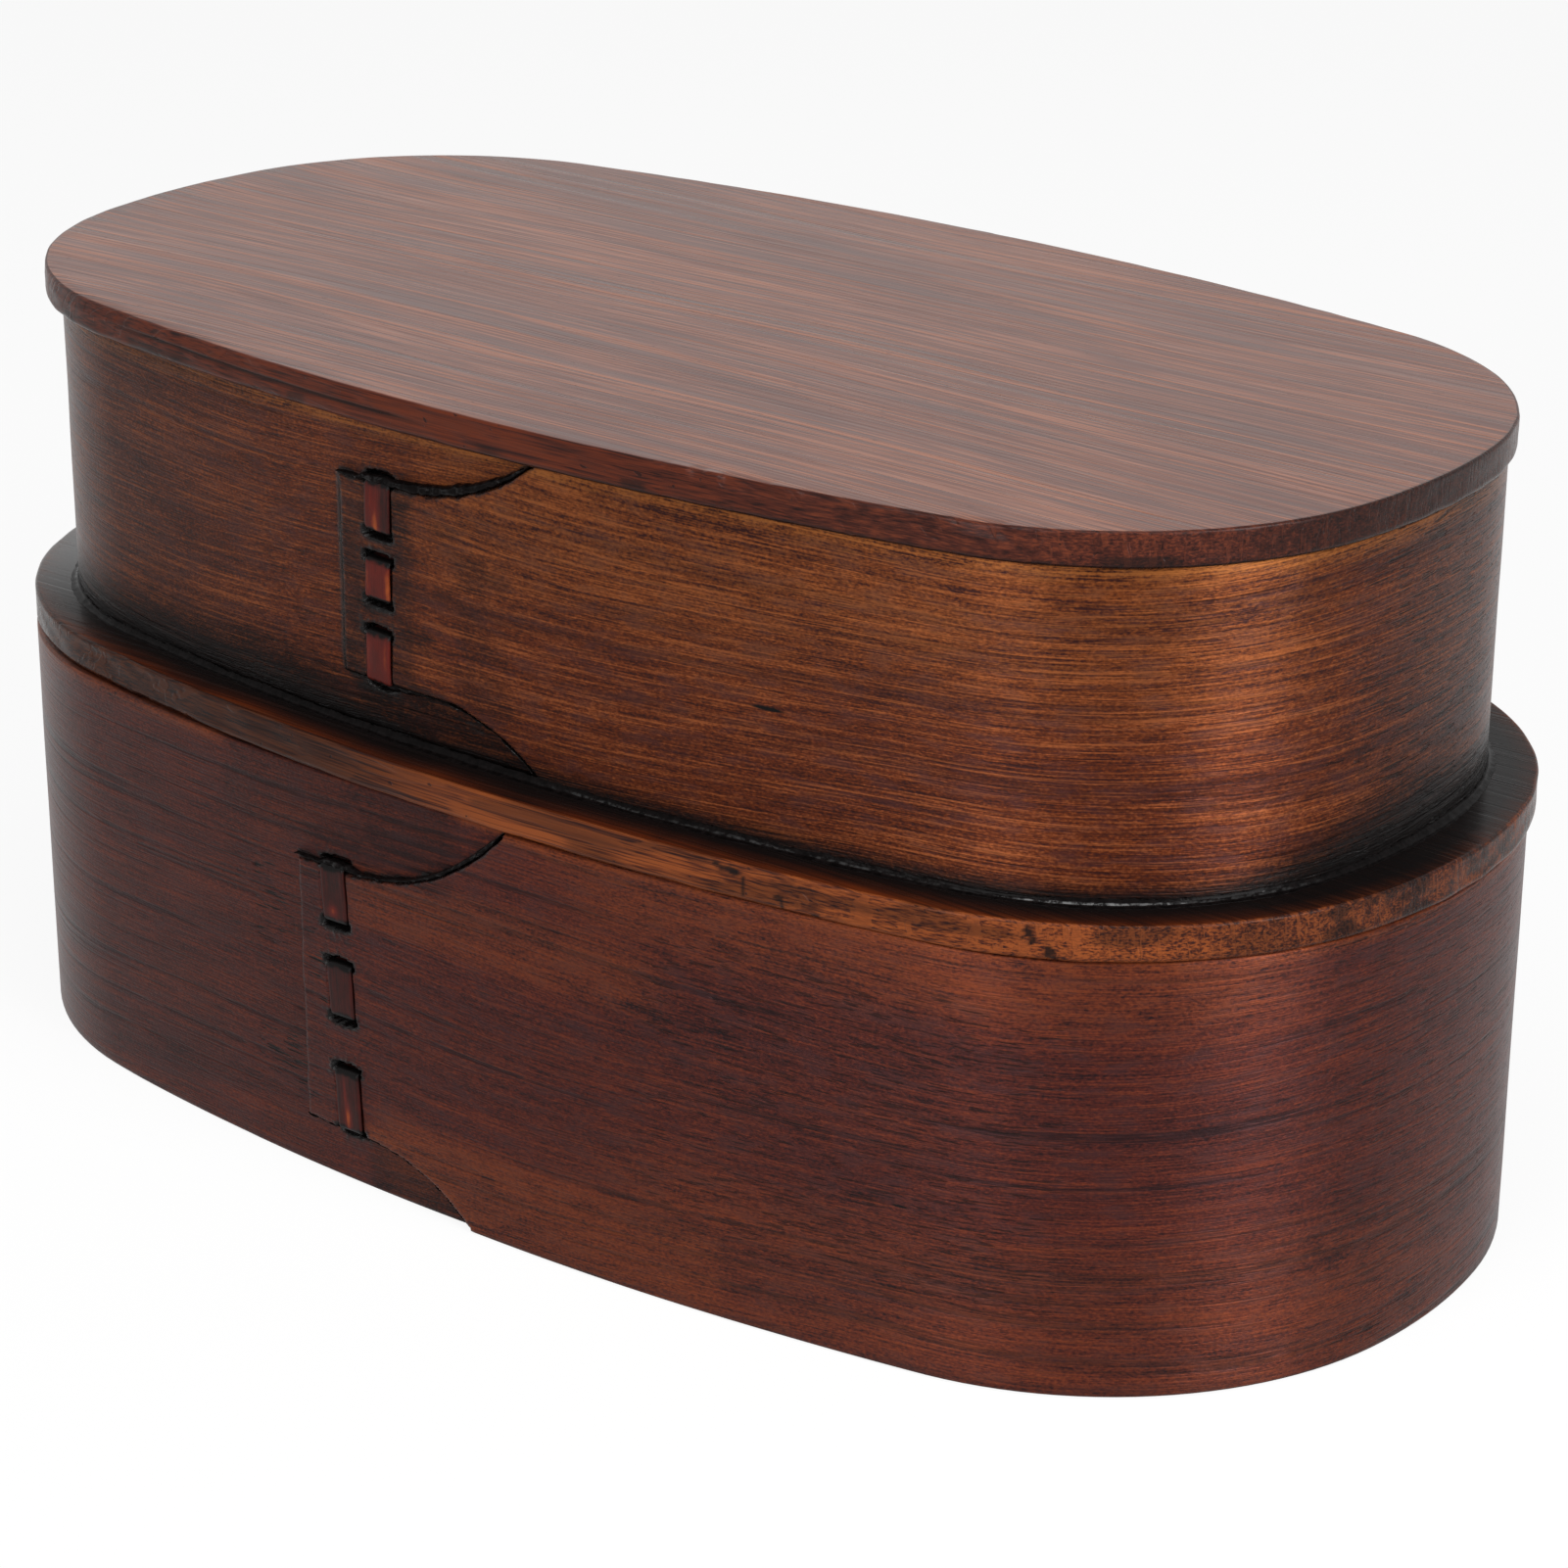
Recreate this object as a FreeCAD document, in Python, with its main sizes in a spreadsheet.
# Two-tier oval lunch box of bent wood.
#
# Each tier is a thin board bent into a hoop.  The strip's outer end is cut to a tongue that
# laps over its inner end, and a ribbon of bark woven through six holes holds the lap shut.
# The lower hoop has a floor let into it.  The upper hoop is glued on a flat board, which is
# the upper tier's floor and the lower tier's lid.  That board and the flat lid each carry a
# bent ring underneath, which drops into the hoop below and keeps them in place.
#
# Frame: X along the box, Y across it with the laced seams on the -Y side, Z up.
# The origin is at the middle of the footprint, on the table.  Millimetres.

import FreeCAD, Part
import math
import os
import re

import Sketcher

doc = FreeCAD.newDocument("bento_box")

# Driving dimensions: name, size in millimetres or degrees, what it measures.
DIMENSIONS = [
    # Outline of each hoop's outside: a long shallow side, a rounder end, a tight corner
    ("lower_half_length", 99.0, "lower hoop, middle to end"),
    ("lower_half_width", 53.1, "lower hoop, middle to side"),
    ("lower_side_radius", 340.0, "lower hoop, curve of the long side"),
    ("lower_end_radius", 67.0, "lower hoop, curve of the end"),
    ("lower_corner_radius", 44.5, "lower hoop, curve between side and end"),
    ("lower_height", 51.6, "lower hoop, foot to rim"),
    # The tiers were put together by hand: the lower one sits off the middle of the board on it,
    # a little turned, and the lid board is off the middle of its ring
    ("lower_shift_x", 0.3, "lower tier, how far it sits to the right"),
    ("lower_shift_y", -0.95, "lower tier, how far it sits to the far side"),
    ("lower_twist", 0.72, "lower tier, how far it is turned, anticlockwise"),
    ("lid_shift_x", -0.4, "lid board, how far it sits to the right"),
    ("lid_shift_y", -0.35, "lid board, how far it sits to the far side"),
    ("upper_half_length", 93.3, "upper hoop, middle to end"),
    ("upper_half_width", 48.25, "upper hoop, middle to side"),
    ("upper_side_radius", 345.0, "upper hoop, curve of the long side"),
    ("upper_end_radius", 77.0, "upper hoop, curve of the end"),
    ("upper_corner_radius", 37.0, "upper hoop, curve between side and end"),
    ("upper_height", 37.4, "upper hoop, foot to rim"),
    ("wall", 3.0, "thickness of the bent strip"),
    ("rim_bevel", 0.5, "sanded edge of a hoop"),
    # Flat boards
    ("middle_thickness", 4.3, "board between the tiers"),
    ("middle_overhang", 1.0, "how far it stands out past the lower hoop"),
    ("lid_thickness", 4.1, "lid board"),
    ("lid_overhang", 1.5, "how far it stands out past the upper hoop"),
    ("board_top_bevel", 0.3, "sanded upper edge of a board"),
    ("board_foot_bevel", 0.8, "sanded lower edge of a board"),
    ("floor_thickness", 4.0, "floor let into the lower hoop"),
    ("floor_recess", 0.8, "how far the floor stays above the foot"),
    # Locating rings under the boards
    ("ring_depth", 6.0, "how far a ring drops into the hoop"),
    ("ring_wall", 2.6, "thickness of a ring"),
    ("ring_clearance", 0.45, "gap between a ring and the hoop round it"),
    ("ring_lead", 0.9, "bevel that leads a ring into its hoop"),
    ("ring_joint_x", 24.0, "where the ends of a ring meet, on the far side"),
    ("ring_joint_gap", 0.4, "gap between the ends of a ring"),
    ("ring_joint_skew", 55.0, "slant of that gap"),
    # Lap of the strip's two ends
    ("lap_step", 0.7, "thickness of the tongue at its end"),
    ("lap_fade_x", -58.0, "where the lapped surface runs out into the hoop"),
    ("lap_root_x", 12.0, "just past the root of the tongue"),
    ("inner_lap_end_x", 22.0, "inner end of the strip, inside the hoop"),
    ("inner_lap_fade_x", 58.0, "where the step inside runs out"),
    ("upper_tongue_end_x", -20.5, "upper tongue, its end"),
    ("upper_tongue_low", 6.5, "upper tongue, lower edge above the foot"),
    ("upper_tongue_high", 29.9, "upper tongue, upper edge above the foot"),
    ("upper_top_turn_x", -11.0, "upper tongue, where its top edge turns up"),
    ("upper_top_turn_radius", 33.0, "upper tongue, curve of that turn"),
    ("upper_foot_turn_x", -6.5, "upper tongue, where its lower edge turns down"),
    ("upper_foot_turn_radius", 24.0, "upper tongue, curve of that turn"),
    ("lower_tongue_end_x", -24.5, "lower tongue, its end"),
    ("lower_tongue_low", 6.9, "lower tongue, lower edge above the foot"),
    ("lower_tongue_high", 40.2, "lower tongue, upper edge above the foot"),
    ("lower_top_turn_x", -16.5, "lower tongue, where its top edge turns up"),
    ("lower_top_turn_radius", 33.0, "lower tongue, curve of that turn"),
    ("lower_foot_turn_x", -14.5, "lower tongue, where its lower edge turns down"),
    ("lower_foot_turn_radius", 24.0, "lower tongue, curve of that turn"),
    # Black filler along the edges of the tongue
    ("filler_proud", 0.15, "how far the filler stands out of the wood"),
    ("upper_filler_top", 1.2, "upper tongue, width of filler above it"),
    ("upper_filler_foot", 0.9, "upper tongue, width of filler below it"),
    ("lower_filler_top", 0.8, "lower tongue, width of filler above it"),
    ("lower_filler_foot", 0.4, "lower tongue, width of filler below it"),
    # Bark lacing: the ribbon, the holes' heights above the foot from top to bottom
    ("lace_width", 4.0, "width of the bark ribbon"),
    ("lace_thickness", 0.6, "thickness of the bark ribbon"),
    ("lace_groove", 0.35, "how deep the ribbon beds into the wood"),
    ("lace_tail", 4.2, "tail left inside at each end"),
    ("lace_bend", 0.6, "bend of the ribbon's middle at a hole"),
    ("hole_width", 4.8, "lacing hole, across the ribbon"),
    ("hole_height", 1.3, "lacing hole, along the ribbon"),
    ("upper_lace_x", -15.0, "upper lacing, where its line meets the foot"),
    ("upper_lace_lean", 1.6, "upper lacing, lean of the line"),
    ("upper_hole_a", 30.5, "upper lacing, first hole"),
    ("upper_hole_b", 24.2, "upper lacing, second hole"),
    ("upper_hole_c", 21.2, "upper lacing, third hole"),
    ("upper_hole_d", 16.0, "upper lacing, fourth hole"),
    ("upper_hole_e", 12.4, "upper lacing, fifth hole"),
    ("upper_hole_f", 5.9, "upper lacing, sixth hole"),
    ("lower_lace_x", -16.6, "lower lacing, where its line meets the foot"),
    ("lower_lace_lean", -2.9, "lower lacing, lean of the line"),
    ("lower_hole_a", 40.8, "lower lacing, first hole"),
    ("lower_hole_b", 33.4, "lower lacing, second hole"),
    ("lower_hole_c", 28.5, "lower lacing, third hole"),
    ("lower_hole_d", 21.4, "lower lacing, fourth hole"),
    ("lower_hole_e", 15.0, "lower lacing, fifth hole"),
    ("lower_hole_f", 6.9, "lower lacing, sixth hole"),
    # Lacquer fillets where a hoop meets a board
    ("bead", 0.9, "height and width of a lacquer fillet"),
    ("spare", 1.0, "how far a cutting shape reaches past what it cuts"),
]
HOLES = "abcdef"
BENDS = ("side", "end", "corner")

# Two lengths in millimetres that differ by less than this are the same
NEAR = 1e-4

sheet = doc.addObject("Spreadsheet::Sheet", "Dimensions")
for row, (alias, size, meaning) in enumerate(DIMENSIONS, start=1):
    sheet.set(f"A{row}", meaning)
    sheet.set(f"B{row}", str(size))
    sheet.setAlias(f"B{row}", alias)
doc.recompute()
ALIASES = {alias for alias, size, meaning in DIMENSIONS}

# Levels, as formulas of the sheet's names
MIDDLE_FOOT = "lower_height"
UPPER_FOOT = "lower_height + middle_thickness"
LID_FOOT = "lower_height + middle_thickness + upper_height"
FOOT = {"lower": "0", "upper": UPPER_FOOT}
SHIFT = {
    "lower": ("lower_shift_x", "lower_shift_y", "lower_twist"),
    "upper": ("0", "0", "0"),
    "lid": ("lid_shift_x", "lid_shift_y", "0"),
}


def on_sheet(formula):
    """The formula with each name read from the sheet, as an expression needs it."""
    return re.sub(r"[a-z_]+", lambda m: f"Dimensions.{m[0]}" if m[0] in ALIASES else m[0], formula)


def number(formula):
    """What the formula comes to now."""
    value = sheet.evalExpression(on_sheet(formula))
    return float(getattr(value, "Value", value))


def standing(shift, foot):
    """Placement formula of a tier or board whose foot is at that height."""
    x, y, twist = SHIFT[shift]
    return f"placement(vector({x}; {y}; {foot}); rotationz({twist}))"


def new_body(name, placement):
    """A body whose own origin has that placement formula."""
    body = doc.addObject("PartDesign::Body", name)
    body.AllowCompound = True
    body.setExpression("Placement", on_sheet(placement))
    return body


def new_sketch(body, plane, name, offset="0"):
    """A sketch on one of the body's own planes, moved along that plane's normal."""
    sketch = body.newObject("Sketcher::SketchObject", name)
    support = next(f for f in body.Origin.OriginFeatures if f.Role == plane)
    sketch.AttachmentSupport = [(support, "")]
    sketch.MapMode = "FlatFace"
    sketch.setExpression("AttachmentOffset.Base.z", on_sheet(offset))
    return sketch


def dimension(sketch, formula, kind, *where):
    """A constraint of the sketch, bound to the sheet."""
    index = sketch.addConstraint(Sketcher.Constraint(kind, *where, number(formula)))
    sketch.setExpression(f"Constraints[{index}]", on_sheet(formula))


def arc_between(start, end, radius, ccw):
    """A sketch arc through two points; ccw is the sense from start to end."""
    first, second = (start, end) if ccw else (end, start)
    middle = (first + second) * 0.5
    chord = second - first
    rise = math.sqrt(max(radius ** 2 - chord.Length ** 2 / 4, 0))
    left = FreeCAD.Vector(-chord.y, chord.x, 0).normalize()
    centre = middle + left * rise
    begin = math.atan2(first.y - centre.y, first.x - centre.x)
    finish = math.atan2(second.y - centre.y, second.x - centre.x)
    if finish < begin:
        finish += 2 * math.pi
    return Part.ArcOfCircle(Part.Circle(centre, FreeCAD.Vector(0, 0, 1), radius), begin, finish)


def outline(sketch, corners, bends=None):
    """A closed outline.  corners holds pairs of formulas; bends gives the radius formula of each
    edge that is an arc, with True where it turns left on its way to the next corner."""
    bends = bends or {}
    points = [FreeCAD.Vector(number(x), number(y), 0) for x, y in corners]
    ends = []
    for i, start in enumerate(points):
        end = points[(i + 1) % len(points)]
        if i in bends:
            radius, ccw = bends[i]
            edge = sketch.addGeometry(arc_between(start, end, number(radius), ccw))
            dimension(sketch, radius, "Radius", edge)
            ends.append((edge, 1, 2) if ccw else (edge, 2, 1))
        else:
            edge = sketch.addGeometry(Part.LineSegment(start, end))
            ends.append((edge, 1, 2))
    for i, (x, y) in enumerate(corners):
        edge, begin, finish = ends[i]
        before = ends[i - 1]
        sketch.addConstraint(Sketcher.Constraint("Coincident", before[0], before[2], edge, begin))
        dimension(sketch, x, "DistanceX", -1, 1, edge, begin)
        dimension(sketch, y, "DistanceY", -1, 1, edge, begin)


def oval(sketch, tier, offset="0"):
    """The tier's outline of eight tangent arcs, moved outward by offset."""
    side = number(f"{tier}_side_radius")
    end = number(f"{tier}_end_radius")
    corner = number(f"{tier}_corner_radius")
    out = number(offset)
    side_y = number(f"{tier}_half_width") - side
    end_x = number(f"{tier}_half_length") - end
    # The corner arc's centre lies where its circle touches both the side's and the end's
    side_centre = FreeCAD.Vector(0, side_y, 0)
    end_centre = FreeCAD.Vector(end_x, 0, 0)
    apart = end_centre - side_centre
    along = (apart.Length ** 2 + (side - corner) ** 2 - (end - corner) ** 2) / (2 * apart.Length)
    across = math.sqrt((side - corner) ** 2 - along ** 2)
    unit = apart.normalize()
    turn = side_centre + unit * along + FreeCAD.Vector(unit.y, -unit.x, 0) * across
    side_angle = math.atan2(turn.y - side_y, turn.x)
    end_angle = math.atan2(turn.y, turn.x - end_x)
    half = math.pi
    arcs = [
        (end_x, 0, end, -end_angle, end_angle),
        (turn.x, turn.y, corner, end_angle, side_angle),
        (0, side_y, side, side_angle, half - side_angle),
        (-turn.x, turn.y, corner, half - side_angle, half - end_angle),
        (-end_x, 0, end, half - end_angle, half + end_angle),
        (-turn.x, -turn.y, corner, half + end_angle, half + side_angle),
        (0, -side_y, side, half + side_angle, 2 * half - side_angle),
        (turn.x, -turn.y, corner, 2 * half - side_angle, 2 * half - end_angle),
    ]
    up = FreeCAD.Vector(0, 0, 1)
    edges = []
    for x, y, radius, begin, finish in arcs:
        circle = Part.Circle(FreeCAD.Vector(x, y, 0), up, radius + out)
        edges.append(sketch.addGeometry(Part.ArcOfCircle(circle, begin, finish)))
    for this, following in zip(edges, edges[1:] + edges[:1]):
        sketch.addConstraint(Sketcher.Constraint("Tangent", this, 2, following, 1))
    right, far_right, far, far_left, left, near_left, near, near_right = edges
    dimension(sketch, f"{tier}_end_radius + {offset}", "Radius", right)
    dimension(sketch, f"{tier}_side_radius + {offset}", "Radius", far)
    dimension(sketch, f"{tier}_corner_radius + {offset}", "Radius", far_right)
    sketch.addConstraint(Sketcher.Constraint("Equal", right, left))
    sketch.addConstraint(Sketcher.Constraint("Equal", far, near))
    for other in (far_left, near_left, near_right):
        sketch.addConstraint(Sketcher.Constraint("Equal", far_right, other))
    for edge in (right, left):
        sketch.addConstraint(Sketcher.Constraint("PointOnObject", edge, 3, -1))
    for edge in (far, near):
        sketch.addConstraint(Sketcher.Constraint("PointOnObject", edge, 3, -2))
    inset = f"{tier}_half_length - {tier}_end_radius"
    drop = f"{tier}_side_radius - {tier}_half_width"
    dimension(sketch, inset, "DistanceX", -1, 1, right, 3)
    dimension(sketch, inset, "DistanceX", left, 3, -1, 1)
    dimension(sketch, drop, "DistanceY", far, 3, -1, 1)
    dimension(sketch, drop, "DistanceY", -1, 1, near, 3)


def near_face(tier, x, inset="0"):
    """Formula of Y on the hoop's near side at x, inset inward from its outside."""
    radius = f"({tier}_side_radius - ({inset}))"
    return f"{tier}_side_radius - {tier}_half_width - sqrt({radius}^2 - ({x})^2)"


def pad(body, sketch, length, name):
    """Raise the sketch along its normal."""
    feature = body.newObject("PartDesign::Pad", name)
    feature.Profile = sketch
    feature.setExpression("Length", on_sheet(length))
    body.Tip = feature
    doc.recompute()
    return feature


def pocket(body, sketch, length, name):
    """Cut the sketch along its normal, and make sure that it removed wood."""
    before = body.Shape.Volume
    feature = body.newObject("PartDesign::Pocket", name)
    feature.Profile = sketch
    feature.Reversed = True
    feature.setExpression("Length", on_sheet(length))
    body.Tip = feature
    doc.recompute()
    if body.Shape.Volume > before - NEAR:
        raise RuntimeError(f"{name} cuts nothing")
    return feature


def level_edges(feature, height, tier=None, offset="0"):
    """Names of the feature's edges that lie flat at the height, in the body's own frame; with a
    tier, only those on the tier's outline moved outward by offset."""
    radii = [number(f"{tier}_{bend}_radius + {offset}") for bend in BENDS] if tier else []
    found = []
    for index, edge in enumerate(feature.Shape.Edges, start=1):
        box = edge.BoundBox
        if abs(box.ZMin - height) > NEAR or abs(box.ZMax - height) > NEAR:
            continue
        if not tier or min(abs(edge.Curve.Radius - radius) for radius in radii) < NEAR:
            found.append(f"Edge{index}")
    return found


def bevel(body, feature, edges, amount, name):
    """Sand the feature's edges to a bevel."""
    sanded = body.newObject("PartDesign::Chamfer", name)
    sanded.Base = (feature, edges)
    sanded.setExpression("Size", on_sheet(amount))
    body.Tip = sanded
    doc.recompute()
    return sanded


def boolean(kind, name, base, tool):
    """Part::Cut or Part::Common of two objects."""
    result = doc.addObject(f"Part::{kind}", name)
    result.Base = base
    result.Tool = tool
    doc.recompute()
    return result


def board(name, tier, shift, foot, thickness, offset):
    """A flat board with softened edges, cut to the tier's outline and moved out by offset."""
    body = new_body(name, standing(shift, foot))
    sketch = new_sketch(body, "XY_Plane", f"{name}_outline")
    oval(sketch, tier, offset)
    raised = pad(body, sketch, thickness, f"{name}_pad")
    upper_edge = level_edges(raised, number(thickness))
    topped = bevel(body, raised, upper_edge, "board_top_bevel", f"{name}_top_edge")
    bevel(body, topped, level_edges(topped, 0), "board_foot_bevel", f"{name}_foot_edge")
    return body


def floor_board():
    """The lower tier's floor fills its hoop from wall to wall, a little above the foot."""
    body = new_body("floor_board", standing("lower", "floor_recess"))
    sketch = new_sketch(body, "XY_Plane", "floor_outline")
    oval(sketch, "lower", "-wall")
    pad(body, sketch, "floor_thickness", "floor_pad")
    return body


def locating_ring(name, tier, board_foot):
    """A bent strip under a board.  Its ends meet on the far side with a slanting gap."""
    body = new_body(name, standing(tier, f"{board_foot} - ring_depth"))
    sketch = new_sketch(body, "XY_Plane", f"{name}_outline")
    oval(sketch, tier, "-wall - ring_clearance")
    oval(sketch, tier, "-wall - ring_clearance - ring_wall")
    strip = pad(body, sketch, "ring_depth", f"{name}_strip")
    outer_foot = level_edges(strip, 0, tier, "-wall - ring_clearance")
    bevel(body, strip, outer_foot, "ring_lead", f"{name}_lead")
    joint = new_sketch(body, "XY_Plane", f"{name}_joint_outline", "-spare")
    near = f"{tier}_half_width - 3 * wall - ring_wall"
    far = f"{tier}_half_width"
    shift = "(3 * wall + ring_wall) * tan(ring_joint_skew)"
    gap = "ring_joint_gap / cos(ring_joint_skew)"
    outline(joint, [
        ("ring_joint_x", near),
        (f"ring_joint_x + {gap}", near),
        (f"ring_joint_x + {gap} + {shift}", far),
        (f"ring_joint_x + {shift}", far),
    ])
    pocket(body, joint, "ring_depth + 2 * spare", f"{name}_joint")
    return body


def lacquer_bead(name, tier, foot, wood, face):
    """A fillet of lacquer in the corner between a hoop and the board that it meets: a triangle
    carried round the hoop.  wood and face are the offsets of its two feet."""
    body = new_body(name, standing(tier, foot))
    path = new_sketch(body, "XY_Plane", f"{name}_path")
    oval(path, tier, wood)
    section = new_sketch(body, "XZ_Plane", f"{name}_section")
    against_wood = f"{tier}_half_length + {wood}"
    outline(section, [
        (against_wood, "0"),
        (f"{tier}_half_length + {face}", "0"),
        (against_wood, "bead"),
    ])
    doc.recompute()
    fillet = body.newObject("PartDesign::AdditivePipe", f"{name}_fillet")
    fillet.Profile = section
    fillet.Spine = (path, [f"Edge{i + 1}" for i in range(len(path.Shape.Edges))])
    body.Tip = fillet
    doc.recompute()
    return body


def hoop(name, tier, rims):
    """The bent strip as a closed hoop, sanded at the heights in rims, with the step of its inner
    end on the inside."""
    height = f"{tier}_height"
    body = new_body(name, standing(tier, FOOT[tier]))
    sketch = new_sketch(body, "XY_Plane", f"{name}_outline")
    oval(sketch, tier)
    oval(sketch, tier, "-wall")
    strip = pad(body, sketch, height, f"{name}_strip")
    edges = [edge for rim in rims for edge in level_edges(strip, number(rim))]
    bevel(body, strip, edges, "rim_bevel", f"{name}_rims")
    step = new_sketch(body, "XY_Plane", f"{name}_inner_step_outline", "-spare")
    outline(step, [
        ("inner_lap_end_x", f"{near_face(tier, 'inner_lap_end_x', 'wall')} - lap_step"),
        ("inner_lap_fade_x", near_face(tier, "inner_lap_fade_x", "wall")),
        ("inner_lap_fade_x", f"{near_face(tier, 'inner_lap_fade_x', 'wall')} + wall"),
        ("inner_lap_end_x", f"{near_face(tier, 'inner_lap_fade_x', 'wall')} + wall"),
    ], {0: (f"{tier}_side_radius - wall", True)})
    pocket(body, step, f"{height} + 2 * spare", f"{name}_inner_step")
    return body


def lap_depth(tier, x):
    """Formula of how deep the lapped surface lies under the hoop's outside at x."""
    return f"lap_step * (({x}) - lap_fade_x) / ({tier}_tongue_end_x - lap_fade_x)"


def lap_zone(name, tier, reach):
    """Plan of the wedge between the lapped surface and the hoop's outside, raised full height.
    Its outer side lies reach outside the hoop."""
    body = new_body(name, standing(tier, FOOT[tier]))
    sketch = new_sketch(body, "XY_Plane", f"{name}_outline", "-spare")
    outline(sketch, [
        ("lap_fade_x", near_face(tier, "lap_fade_x")),
        ("lap_root_x", f"{near_face(tier, 'lap_root_x')} + {lap_depth(tier, 'lap_root_x')}"),
        ("lap_root_x", f"{near_face(tier, 'lap_root_x')} - {reach}"),
        ("lap_fade_x", f"{near_face(tier, 'lap_fade_x')} - {reach}"),
    ], {
        0: (f"{tier}_side_radius", True),
        2: (f"{tier}_side_radius + {reach}", False),
    })
    pad(body, sketch, f"{tier}_height + 2 * spare", f"{name}_pad")
    return body


def turn_end(tier, edge, rise, inset="0"):
    """Formula of X where the tongue's curved edge has climbed, or dropped, by rise."""
    radius = f"{tier}_{edge}_turn_radius"
    return f"{tier}_{edge}_turn_x + sqrt(({radius} - {inset})^2 - ({radius} - ({rise}))^2)"


def seen_from_the_front(name, tier, depth):
    """A body and a sketch in the XZ plane, laid out to be raised through the near side."""
    body = new_body(name, standing(tier, FOOT[tier]))
    return body, new_sketch(body, "XZ_Plane", f"{name}_outline", f"{tier}_half_width - {depth}")


def lap_surround(name, tier):
    """Elevation of the near side all round the tongue, where the inner end lies open."""
    body, sketch = seen_from_the_front(name, tier, "2 * wall")
    low, high = f"{tier}_tongue_low", f"{tier}_tongue_high"
    end, left = f"{tier}_tongue_end_x", "lap_fade_x - spare"
    above = f"{tier}_height + spare"
    outline(sketch, [
        (left, above),
        (left, "-spare"),
        (turn_end(tier, "foot", f"{low} + spare"), "-spare"),
        (f"{tier}_foot_turn_x", low),
        (end, low),
        (end, high),
        (f"{tier}_top_turn_x", high),
        (turn_end(tier, "top", f"{above} - {high}"), above),
    ], {
        2: (f"{tier}_foot_turn_radius", True),
        6: (f"{tier}_top_turn_radius", True),
    })
    pad(body, sketch, "4 * wall", f"{name}_pad")
    return body


def filler_strips(name, tier):
    """Elevation of the filler along the tongue's upper and lower edges."""
    body, sketch = seen_from_the_front(name, tier, "2 * wall")
    low, high = f"{tier}_tongue_low", f"{tier}_tongue_high"
    end = f"{tier}_tongue_end_x"
    top, foot = f"{tier}_filler_top", f"{tier}_filler_foot"
    rim = f"{tier}_height - rim_bevel"
    climb, drop = f"{rim} - {high}", f"{low} - bead"
    outline(sketch, [
        (f"{end} - {top} / 2", high),
        (f"{tier}_top_turn_x", high),
        (turn_end(tier, "top", climb), rim),
        (turn_end(tier, "top", climb, top), rim),
        (f"{tier}_top_turn_x", f"{high} + {top}"),
        (f"{end} - {top} / 2", f"{high} + {top}"),
    ], {
        1: (f"{tier}_top_turn_radius", True),
        3: (f"{tier}_top_turn_radius - {top}", False),
    })
    outline(sketch, [
        (f"{end} - {foot} / 2", low),
        (f"{tier}_foot_turn_x", low),
        (turn_end(tier, "foot", drop), "bead"),
        (turn_end(tier, "foot", drop, foot), "bead"),
        (f"{tier}_foot_turn_x", f"{low} - {foot}"),
        (f"{end} - {foot} / 2", f"{low} - {foot}"),
    ], {
        1: (f"{tier}_foot_turn_radius", False),
        3: (f"{tier}_foot_turn_radius - {foot}", True),
    })
    pad(body, sketch, "4 * wall", f"{name}_pad")
    return body


def lace_frame(tier):
    """Placement formula of the lacing: on the hoop's outside, square to it, leaning with the
    line of holes.  In this frame Y runs into the wood and Z up the line of holes."""
    x = f"{tier}_lace_x"
    turn = f"rotationz(asin({x} / {tier}_side_radius)) * rotationy({tier}_lace_lean)"
    on_wood = f"placement(vector({x}; {near_face(tier, x)}; 0); {turn})"
    return f"{standing(tier, FOOT[tier])} * {on_wood}"


def box_outline(sketch, low, high, width):
    """A rectangle on the line of holes, from one height to another."""
    outline(sketch, [
        (f"-{width} / 2", low),
        (f"{width} / 2", low),
        (f"{width} / 2", high),
        (f"-{width} / 2", high),
    ])


def lace_cutter(name, tier):
    """What the lacing needs out of the wood: six holes, and a shallow bed for each stitch."""
    body = new_body(name, lace_frame(tier))
    hole = {letter: f"{tier}_hole_{letter}" for letter in HOLES}
    through = new_sketch(body, "XZ_Plane", f"{name}_holes", "-wall - spare")
    for height in hole.values():
        box_outline(through, f"{height} - hole_height / 2", f"{height} + hole_height / 2", "hole_width")
    pad(body, through, "wall + 3 * spare", f"{name}_holes_pad")
    outside = new_sketch(body, "XZ_Plane", f"{name}_outer_beds", "-lace_groove")
    for upper, lower in ("ab", "cd", "ef"):
        box_outline(outside, hole[lower], hole[upper], "lace_width")
    pad(body, outside, "lace_groove + 2 * spare", f"{name}_outer_beds_pad")
    inside = new_sketch(body, "XZ_Plane", f"{name}_inner_beds", "-wall - spare")
    for upper, lower in ("bc", "de"):
        box_outline(inside, hole[lower], hole[upper], "lace_width")
    box_outline(inside, f"{hole['a']} - lace_tail", hole["a"], "lace_width")
    box_outline(inside, hole["f"], f"{hole['f']} + lace_tail", "lace_width")
    pad(body, inside, "lace_groove + spare", f"{name}_inner_beds_pad")
    return body


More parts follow.
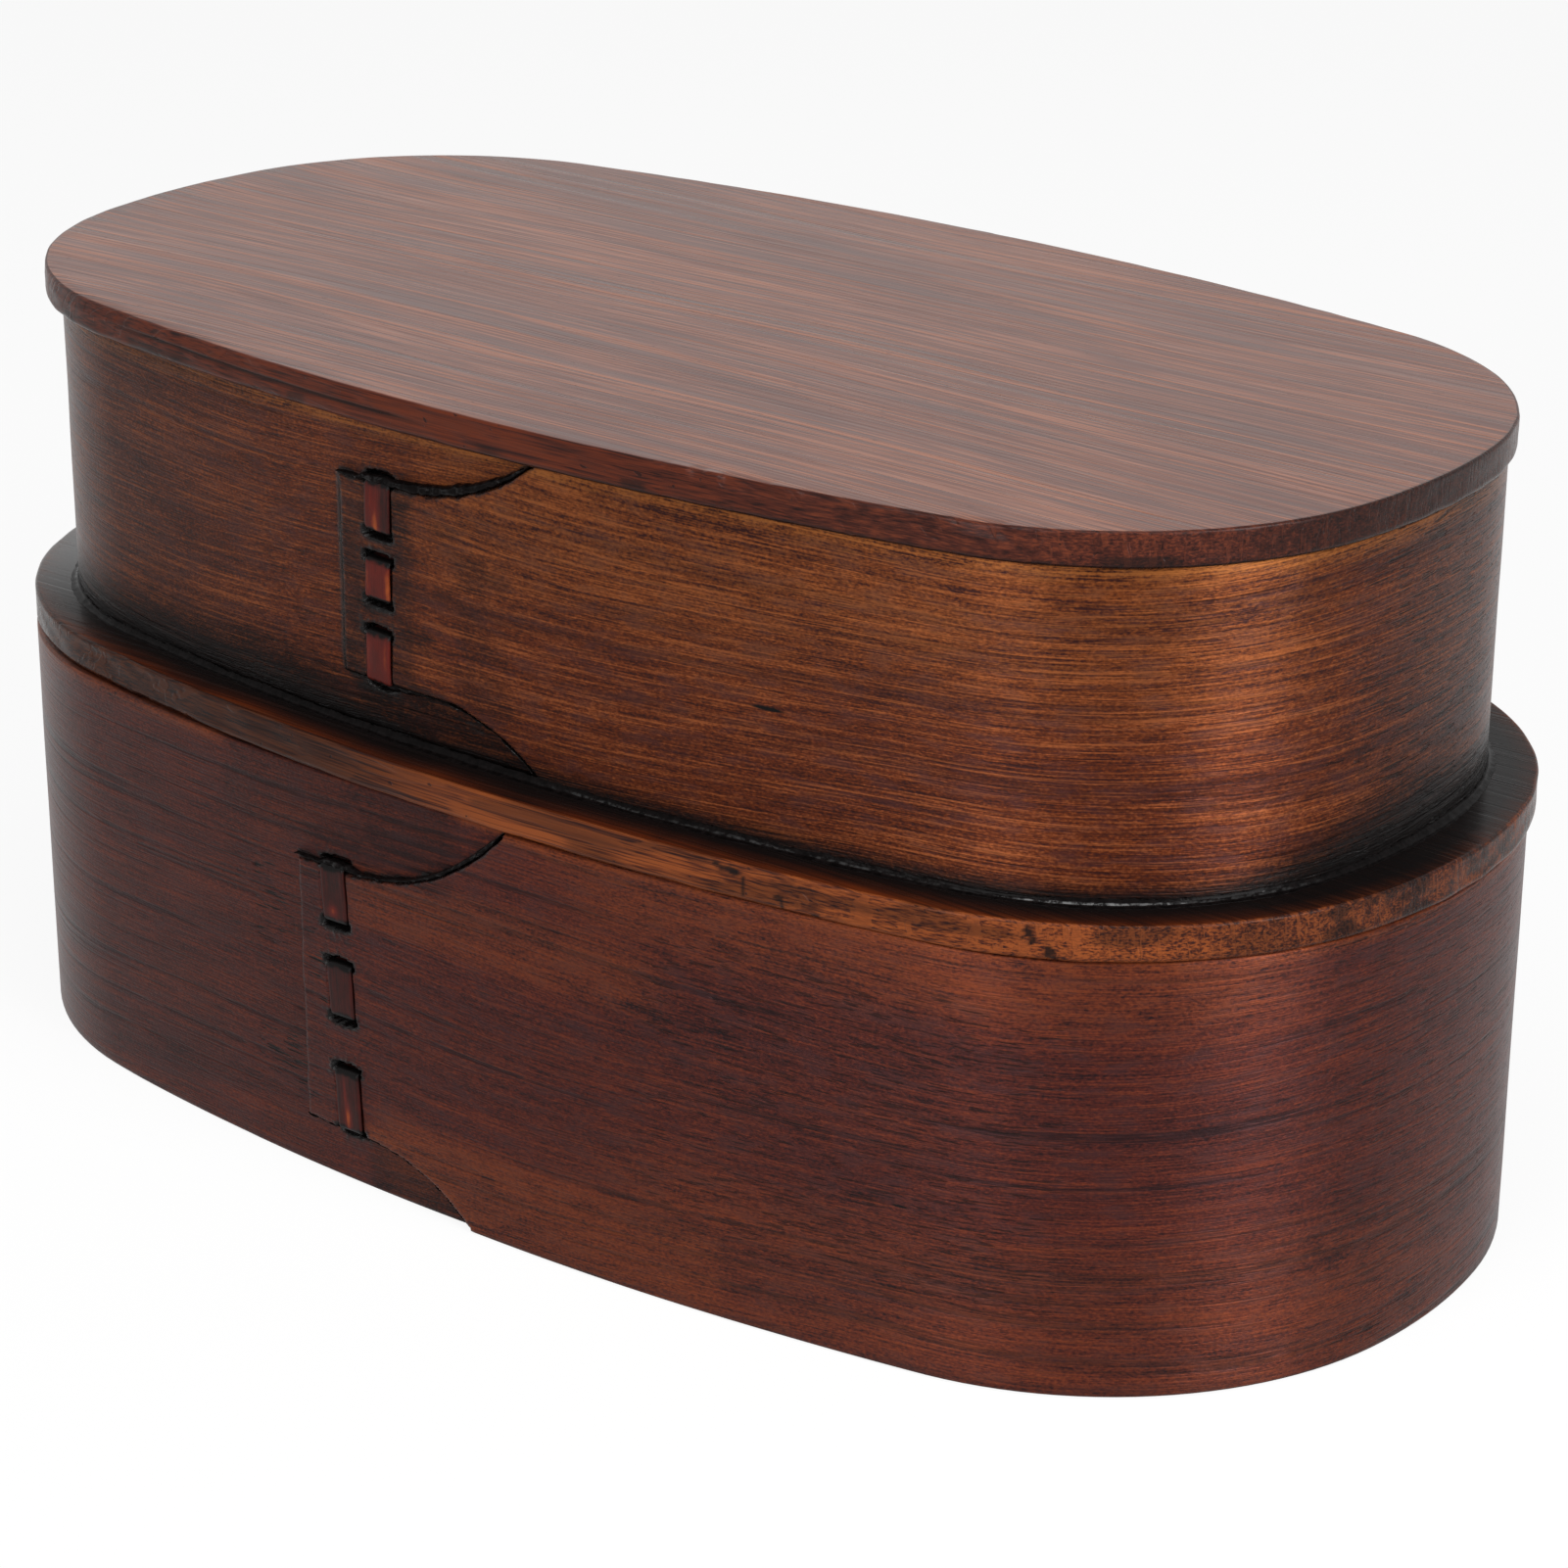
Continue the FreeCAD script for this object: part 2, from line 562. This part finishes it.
def woven_path(sketch, turns):
    """An open path of upright and level runs, rounded where they meet.  turns holds pairs of
    formulas; the first run is upright."""
    bend = number("lace_bend")
    points = [FreeCAD.Vector(number(x), number(y), 0) for x, y in turns]
    last = len(points) - 2
    runs = []
    for i, (start, end) in enumerate(zip(points, points[1:])):
        along = (end - start).normalize()
        begin = start + along * (bend if i > 0 else 0)
        finish = end - along * (bend if i < last else 0)
        run = sketch.addGeometry(Part.LineSegment(begin, finish))
        upright = i % 2 == 0
        sketch.addConstraint(Sketcher.Constraint("Vertical" if upright else "Horizontal", run))
        formula = turns[i][0] if upright else turns[i][1]
        dimension(sketch, formula, "DistanceX" if upright else "DistanceY", -1, 1, run, 1)
        runs.append((run, along))
    for (before, way_in), (after, way_out), corner in zip(runs, runs[1:], points[1:]):
        centre = corner - way_in * bend + way_out * bend
        left = way_in.x * way_out.y - way_in.y * way_out.x > 0
        begin, finish = corner - way_in * bend, corner + way_out * bend
        ends = (begin, finish) if left else (finish, begin)
        first, second = (math.atan2(p.y - centre.y, p.x - centre.x) for p in ends)
        if second < first:
            second += 2 * math.pi
        circle = Part.Circle(centre, FreeCAD.Vector(0, 0, 1), bend)
        arc = sketch.addGeometry(Part.ArcOfCircle(circle, first, second))
        entry, leave = (1, 2) if left else (2, 1)
        sketch.addConstraint(Sketcher.Constraint("Tangent", before, 2, arc, entry))
        sketch.addConstraint(Sketcher.Constraint("Tangent", arc, leave, after, 1))
        dimension(sketch, "lace_bend", "Radius", arc)
    dimension(sketch, turns[0][1], "DistanceY", -1, 1, runs[0][0], 1)
    dimension(sketch, turns[-1][1], "DistanceY", -1, 1, runs[-1][0], 2)


def lacing(name, tier):
    """The bark ribbon: out and in through the six holes, with a tail tucked inside at each end."""
    body = new_body(name, lace_frame(tier))
    outside = "lace_groove - lace_thickness / 2"
    inside = "wall - lace_groove + lace_thickness / 2"
    hole = [f"{tier}_hole_{letter}" for letter in HOLES]
    turns = [(inside, f"{hole[0]} - lace_tail")]
    for i, height in enumerate(hole):
        came_from, goes_to = (inside, outside) if i % 2 == 0 else (outside, inside)
        turns += [(came_from, height), (goes_to, height)]
    turns.append((inside, f"{hole[-1]} + lace_tail"))
    path = new_sketch(body, "YZ_Plane", f"{name}_path")
    woven_path(path, turns)
    section = new_sketch(body, "XY_Plane", f"{name}_section", turns[0][1])
    half_width, half_thickness = "lace_width / 2", "lace_thickness / 2"
    outline(section, [
        (f"-{half_width}", f"{inside} - {half_thickness}"),
        (half_width, f"{inside} - {half_thickness}"),
        (half_width, f"{inside} + {half_thickness}"),
        (f"-{half_width}", f"{inside} + {half_thickness}"),
    ])
    doc.recompute()
    ribbon = body.newObject("PartDesign::AdditivePipe", f"{name}_ribbon")
    ribbon.Profile = section
    ribbon.Spine = (path, [f"Edge{i + 1}" for i in range(len(path.Shape.Edges))])
    body.Tip = ribbon
    doc.recompute()
    return body


def laced_hoop(tier, rims):
    """A tier's hoop with its tongue and lacing holes, its lacing and its black filler."""
    plain = hoop(f"{tier}_hoop", tier, rims)
    zone = lap_zone(f"{tier}_lap_zone", tier, "3 * spare")
    surround = lap_surround(f"{tier}_lap_surround", tier)
    opened = boolean("Common", f"{tier}_lap_opening", zone, surround)
    lapped = boolean("Cut", f"{tier}_lapped_hoop", plain, opened)
    holes = lace_cutter(f"{tier}_lace_holes", tier)
    band = boolean("Cut", f"{tier}_band", lapped, holes)
    ribbon = lacing(f"{tier}_lacing", tier)
    strips = filler_strips(f"{tier}_filler_strips", tier)
    flush = lap_zone(f"{tier}_filler_depth", tier, "filler_proud")
    poured = boolean("Common", f"{tier}_poured_filler", strips, flush)
    filler = boolean("Cut", f"{tier}_seam_filler", poured, ribbon)
    return [band, ribbon, filler]


pieces = laced_hoop("lower", ["0", "lower_height"])
pieces.append(floor_board())
floor_top = "floor_recess + floor_thickness"
pieces.append(lacquer_bead("floor_seal", "lower", floor_top, "-wall", "-wall - bead"))

middle = board("middle_board", "lower", "upper", MIDDLE_FOOT, "middle_thickness", "middle_overhang")
pieces.append(middle)
pieces.append(locating_ring("middle_ring", "lower", MIDDLE_FOOT))

pieces += laced_hoop("upper", ["upper_height"])
pieces.append(lacquer_bead("upper_foot_bead", "upper", UPPER_FOOT, "0", "bead"))

pieces.append(board("lid_board", "upper", "lid", LID_FOOT, "lid_thickness", "lid_overhang"))
pieces.append(locating_ring("lid_ring", "upper", LID_FOOT))

doc.recompute()
for thing in doc.Objects:
    if {"Invalid", "Error"} & set(thing.State):
        raise RuntimeError(f"{thing.Name} failed: {thing.State}")
for piece in pieces:
    if piece.Shape.isNull() or not piece.Shape.isValid():
        raise RuntimeError(f"{piece.Label} has no valid shape")

os.makedirs("parts", exist_ok=True)
for piece in pieces:
    shape = piece.Shape
    shape.exportStep(f"parts/{piece.Label}.step")
    print(f"{piece.Label}: {shape.Volume / 1000:.2f} cm3, {len(shape.Solids)} solid(s)")
print(f"{len(pieces)} pieces")
